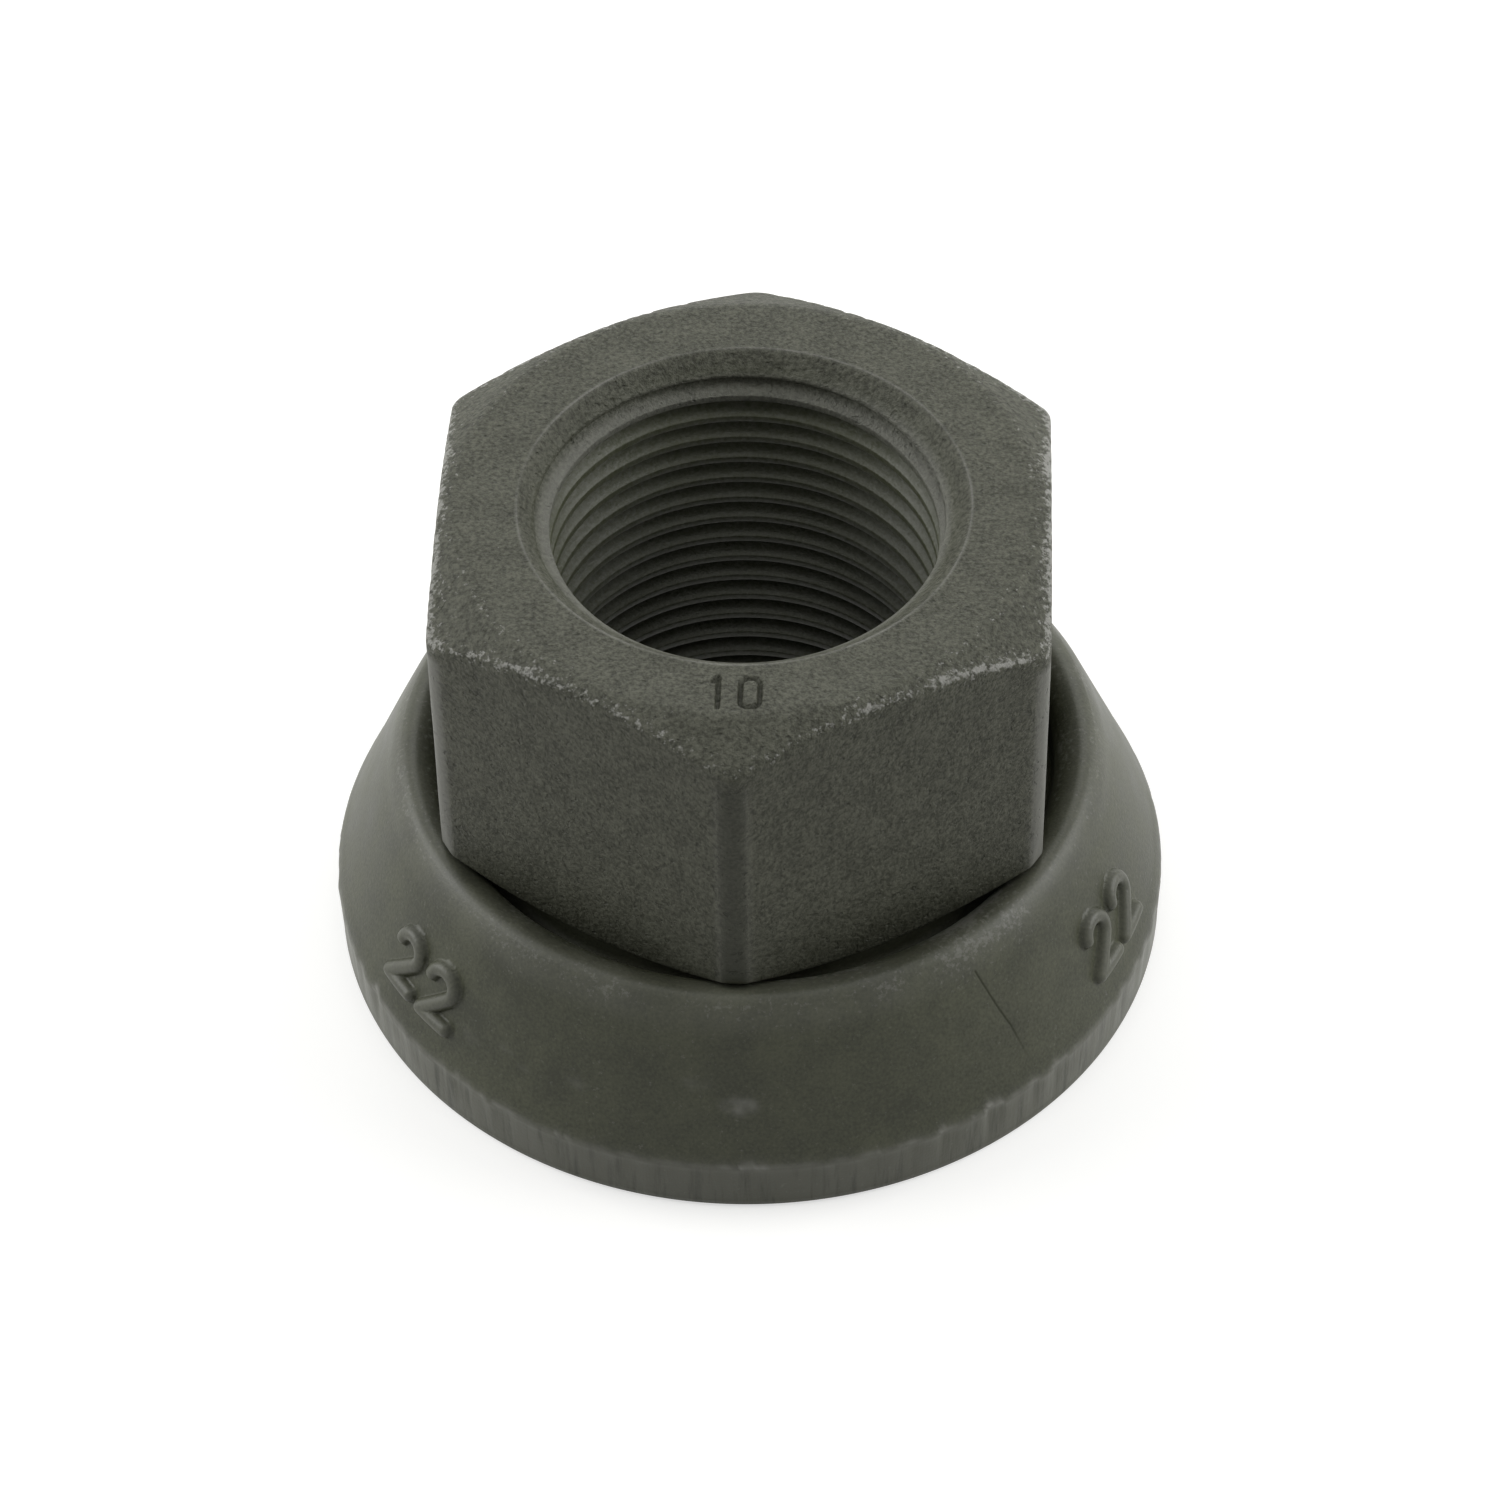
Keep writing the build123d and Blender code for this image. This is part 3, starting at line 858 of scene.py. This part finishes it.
def forged_steel(finish):
    """Forged and phosphated steel: a satin dark grey with soft clouds, pale scuffs on the lip's shoulder, and a
    lighter band with upright marks where the rim was sheared, with painted highlights and painted shade in the
    groove."""
    material, tree = new_material("forged_phosphated_steel")
    place = add_node(tree, "ShaderNodeTexCoord").outputs["Object"]
    cut, dark = (
        add_node(tree, "ShaderNodeAttribute", attribute_name=name).outputs["Fac"] for name in ("cut", "dark"))
    grit = add_node(tree, "ShaderNodeTexNoise", {
        "Vector": place, "Scale": 1 / (0.18 * MM), "Detail": 3.0, "Roughness": 0.55}).outputs["Fac"]
    clouds = add_node(tree, "ShaderNodeTexNoise", {
        "Vector": place, "Scale": 1 / (3.0 * MM), "Detail": 5.0, "Roughness": 0.6}).outputs["Fac"]
    upright = add_node(tree, "ShaderNodeMapping", {
        "Vector": place, "Scale": (1.0, 1.0, 0.08)}).outputs["Vector"]
    streaks = add_node(tree, "ShaderNodeTexNoise", {
        "Vector": upright, "Scale": 1 / (0.55 * MM), "Detail": 4.0, "Roughness": 0.6}).outputs["Fac"]

    # Base colour: clouds on the skin, streaks on the sheared band, scuffs and painted highlights over both, and dark
    # for painted shade in the groove and for the scratch
    both = add_node(tree, "ShaderNodeMath", {0: grit, 1: clouds}, operation="ADD").outputs["Value"]
    tone = add_node(tree, "ShaderNodeMapRange", {
        "Value": both, "From Min": 0.78, "From Max": 1.26}).outputs["Result"]
    skin = add_node(tree, "ShaderNodeMix", {
        FACTOR: tone, FIRST: finish.forged_dark, SECOND: finish.forged_light}, data_type="RGBA").outputs[MIXED]
    shear_tone = add_node(tree, "ShaderNodeMapRange", {
        "Value": streaks, "From Min": 0.3, "From Max": 0.5}).outputs["Result"]
    sheared = add_node(tree, "ShaderNodeMix", {
        FACTOR: shear_tone, FIRST: finish.forged_dark, SECOND: finish.sheared}, data_type="RGBA").outputs[MIXED]
    base = add_node(tree, "ShaderNodeMix", {
        FACTOR: cut, FIRST: skin, SECOND: sheared}, data_type="RGBA").outputs[MIXED]
    wear_and_highlights = pale_from_wear_and_highlight(tree, place, start=0.62, full=0.82, strength=0.4)
    scuff_and_highlight = add_node(tree, "ShaderNodeMix", {
        FACTOR: wear_and_highlights, FIRST: base, SECOND: finish.scuff_and_highlight}, data_type="RGBA").outputs[MIXED]
    final = add_node(tree, "ShaderNodeMix", {
        FACTOR: dark, FIRST: scuff_and_highlight, SECOND: finish.shade_and_dark_marks}, data_type="RGBA").outputs[MIXED]

    # Satin in clouds, duller where the groove is painted dark and along the scratch, with fine grit and the sheared
    # band's streaks as bumps
    satin = add_node(tree, "ShaderNodeMapRange", {
        "Value": clouds, "From Min": 0.3, "From Max": 0.7, "To Min": 0.36, "To Max": 0.46}).outputs["Result"]
    rough = add_node(tree, "ShaderNodeMath", {
        0: dark, 1: 0.6, 2: satin}, operation="MULTIPLY_ADD").outputs["Value"]
    shear_height = add_node(tree, "ShaderNodeMath", {0: streaks, 1: cut}, operation="MULTIPLY").outputs["Value"]
    height = add_node(tree, "ShaderNodeMath", {
        0: grit, 1: 0.4, 2: shear_height}, operation="MULTIPLY_ADD").outputs["Value"]
    bump = add_node(tree, "ShaderNodeBump", {
        "Height": height, "Strength": 0.7, "Distance": 0.05 * MM}).outputs["Normal"]
    shader = add_node(tree, "ShaderNodeBsdfPrincipled", {
        "Base Color": final, "Roughness": rough, "Metallic": 0.0, "Specular IOR Level": 0.33, "Normal": bump})
    add_node(tree, "ShaderNodeOutputMaterial", {"Surface": shader.outputs["BSDF"]})
    return material


# Studio

def white_to_the_eye(tree):
    """1 for rays from the camera, from a reflection or through glass, 0 for the light that falls on things."""
    path = add_node(tree, "ShaderNodeLightPath")
    seen = add_node(tree, "ShaderNodeMath", {
        0: path.outputs["Is Camera Ray"], 1: path.outputs["Is Glossy Ray"]}, operation="MAXIMUM").outputs["Value"]
    return add_node(tree, "ShaderNodeMath", {
        0: seen, 1: path.outputs["Is Transmission Ray"]}, operation="MAXIMUM").outputs["Value"]


def floor_material(stage):
    """Matt pale paper. To the eye it gets a little white of its own, so that it reaches white and keeps the
    nut's shadow."""
    material, tree = new_material("pale_paper")
    paper = add_node(tree, "ShaderNodeBsdfDiffuse", {"Color": stage.floor}).outputs["BSDF"]
    lift = add_node(tree, "ShaderNodeMath", {
        0: white_to_the_eye(tree), 1: 0.6}, operation="MULTIPLY").outputs["Value"]
    white = add_node(tree, "ShaderNodeEmission", {
        "Color": (1.0, 1.0, 1.0, 1.0), "Strength": lift}).outputs["Emission"]
    both = add_node(tree, "ShaderNodeAddShader", {0: paper, 1: white}).outputs["Shader"]
    add_node(tree, "ShaderNodeOutputMaterial", {"Surface": both})
    return material


def add_floor(stage):
    """The pale floor under the nut."""
    bm = bmesh.new()
    bmesh.ops.create_grid(bm, x_segments=1, y_segments=1, size=stage.floor_reach)
    mesh = bpy.data.meshes.new("floor")
    bm.to_mesh(mesh)
    bm.free()
    mesh.materials.append(floor_material(stage))
    floor = bpy.data.objects.new("floor", mesh)
    bpy.context.scene.collection.objects.link(floor)


def build_world(stage):
    """An even light that looks white."""
    world = bpy.data.worlds.new("studio")
    world.use_nodes = True
    tree = world.node_tree
    tree.nodes.clear()
    strength = add_node(tree, "ShaderNodeMapRange", {
        "Value": white_to_the_eye(tree), "To Min": stage.world_light, "To Max": 1.0}).outputs["Result"]
    light = add_node(tree, "ShaderNodeBackground", {"Color": (1.0, 1.0, 1.0, 1.0), "Strength": strength})
    add_node(tree, "ShaderNodeOutputWorld", {"Surface": light.outputs["Background"]})
    bpy.context.scene.world = world


def add_lamp(name, place, size, watts):
    """A square soft lamp that looks at the middle of the nut."""
    lamp = bpy.data.lights.new(name, "AREA")
    lamp.energy, lamp.size = watts, size
    holder = bpy.data.objects.new(name, lamp)
    holder.location = place
    holder.rotation_euler = (Vector((0.0, 0.0, 15 * MM)) - Vector(place)).to_track_quat("-Z", "Y").to_euler()
    bpy.context.scene.collection.objects.link(holder)


def add_camera(stage):
    """The camera at the photograph's place: over the front corner and a little to its right."""
    middle = Vector((0.0, 0.0, stage.middle))
    place = middle + stage.distance * Vector((0.0, -cos(stage.elevation), sin(stage.elevation)))
    aim = middle + Vector((stage.aim_right, 0.0, -stage.aim_down))
    forward = (aim - place).normalized()
    right = forward.cross(Vector((0.0, 0.0, 1.0))).normalized()
    axes = Matrix((right, right.cross(forward), -forward)).transposed().to_4x4()
    camera = bpy.data.cameras.new("camera")
    camera.sensor_width, camera.lens = 36.0, stage.lens / MM
    holder = bpy.data.objects.new("camera", camera)
    roll = Matrix.Rotation(stage.roll, 4, "Z")
    holder.matrix_world = Matrix.Rotation(stage.turn, 4, "Z") @ Matrix.Translation(place) @ axes @ roll
    bpy.context.scene.collection.objects.link(holder)
    bpy.context.scene.camera = holder


# Operators and panel

class MESH_OT_hexagon_nut(bpy.types.Operator):
    """Model the hexagon nut with its thread"""

    bl_idname = "mesh.hexagon_nut"
    bl_label = "Hexagon nut"

    def execute(self, context):
        scene = context.scene
        finish_piece(
            build_nut(scene.nut_sizes), name="nut", body="nut", node="hex_nut",
            material=blasted_steel(scene.nut_finishes),
        )
        return {"FINISHED"}


class MESH_OT_pressure_collar(bpy.types.Operator):
    """Model the pressure collar with its raised numbers and sheared rim"""

    bl_idname = "mesh.pressure_collar"
    bl_label = "Pressure collar"

    def execute(self, context):
        scene = context.scene
        finish_piece(
            build_collar(scene.collar_sizes), name="collar", body="collar", node="pressure_collar",
            material=forged_steel(scene.nut_finishes),
        )
        return {"FINISHED"}


class SCENE_OT_nut_studio(bpy.types.Operator):
    """Set up the pale floor, the soft lamps and the camera"""

    bl_idname = "scene.nut_studio"
    bl_label = "Studio"

    def execute(self, context):
        stage = context.scene.nut_stage
        add_floor(stage)
        build_world(stage)
        for name, place, size, watts in (
            ("lamp_left", (-0.36, 0.06, 0.2), 0.3, stage.side_light),
            ("lamp_right", (0.36, 0.06, 0.2), 0.3, stage.side_light),
            ("lamp_top", (0.0, 0.05, 0.45), 0.35, stage.top_light),
            ("lamp_back", (0.0, 0.38, 0.22), 0.35, stage.back_light),
        ):
            add_lamp(name, place, size, watts)
        add_camera(stage)
        context.scene.view_settings.view_transform = "Standard"
        return {"FINISHED"}


class VIEW3D_PT_wheel_nut(bpy.types.Panel):
    """Buttons and sizes of the wheel nut"""

    bl_label = "Wheel nut"
    bl_space_type = "VIEW_3D"
    bl_region_type = "UI"
    bl_category = "Wheel nut"

    def draw(self, context):
        for operator in OPERATORS:
            self.layout.operator(operator.bl_idname)
        for group_name in GROUPS:
            group, box = getattr(context.scene, group_name), self.layout.box()
            for name in group.bl_rna.properties.keys():
                if name not in ("rna_type", "name"):
                    box.prop(group, name)


GROUPS = {
    "nut_sizes": NutSizes, "collar_sizes": CollarSizes, "nut_finishes": Finishes, "nut_stage": StageSettings,
}
OPERATORS = (SCENE_OT_nut_studio, MESH_OT_pressure_collar, MESH_OT_hexagon_nut)


def register():
    """Adds the groups of settings, the operators and the panel to Blender."""
    for kind in (*GROUPS.values(), *OPERATORS, VIEW3D_PT_wheel_nut):
        bpy.utils.register_class(kind)
    for name, group in GROUPS.items():
        setattr(bpy.types.Scene, name, PointerProperty(type=group))


def unregister():
    """Takes them out again."""
    for name in GROUPS:
        delattr(bpy.types.Scene, name)
    for kind in (VIEW3D_PT_wheel_nut, *OPERATORS, *GROUPS.values()):
        bpy.utils.unregister_class(kind)


def main():
    """Models everything: the studio, the collar and the nut."""
    register()
    bpy.ops.scene.nut_studio()
    bpy.ops.mesh.pressure_collar()
    bpy.ops.mesh.hexagon_nut()


if __name__ == "__main__":
    main()
